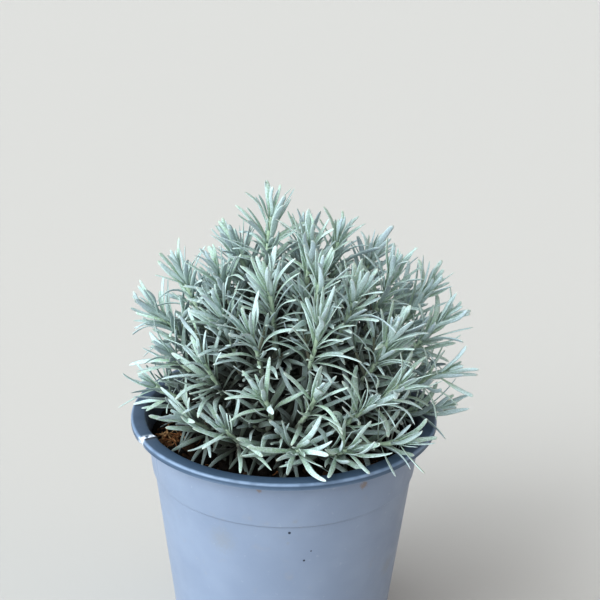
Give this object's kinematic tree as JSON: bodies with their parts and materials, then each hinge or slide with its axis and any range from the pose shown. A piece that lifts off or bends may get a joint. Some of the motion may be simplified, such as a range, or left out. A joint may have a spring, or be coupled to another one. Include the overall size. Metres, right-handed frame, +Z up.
{
  "type": "potted curry plant",
  "caption": "Bushy silver-leaved culinary herb growing in a round tapered plastic nursery pot with a flat rim, standing on its base.",
  "frame": {"origin": "centre of the pot's underside, on the surface that it stands on", "axes": "+Z up out of the pot; -Y is the front, the side that the picture shows; +X to the right"},
  "size_m": [0.1603, 0.1442, 0.2308],
  "materials": {
    "pot_plastic": "smooth moulded blue-grey plastic, satin",
    "potting_soil": "loose damp peat and coir fibre, matt",
    "foliage": "silvery grey-green felted leaves and stems, matt"
  },
  "bodies": {
    "root": {"pot": "pot_plastic", "soil": "potting_soil", "stem_01": "foliage", "stem_02": "foliage", "stem_03": "foliage", "stem_04": "foliage", "stem_05": "foliage", "stem_06": "foliage", "stem_07": "foliage", "stem_08": "foliage", "stem_09": "foliage", "stem_10": "foliage", "stem_11": "foliage", "stem_12": "foliage", "stem_13": "foliage", "stem_14": "foliage", "stem_15": "foliage", "stem_16": "foliage", "stem_17": "foliage", "stem_18": "foliage", "stem_19": "foliage", "stem_20": "foliage", "stem_21": "foliage", "stem_22": "foliage", "stem_23": "foliage", "stem_24": "foliage", "stem_25": "foliage", "stem_26": "foliage", "stem_27": "foliage", "stem_28": "foliage", "stem_29": "foliage", "stem_30": "foliage", "stem_31": "foliage", "stem_32": "foliage", "stem_33": "foliage", "stem_34": "foliage", "stem_35": "foliage", "stem_36": "foliage", "stem_37": "foliage", "stem_38": "foliage", "stem_39": "foliage", "stem_40": "foliage", "stem_41": "foliage", "stem_42": "foliage", "stem_43": "foliage", "stem_44": "foliage", "stem_45": "foliage", "stem_46": "foliage", "stem_47": "foliage", "stem_48": "foliage", "stem_49": "foliage", "stem_50": "foliage", "stem_51": "foliage", "stem_52": "foliage", "stem_53": "foliage", "stem_54": "foliage"}
  },
  "joints": []
}
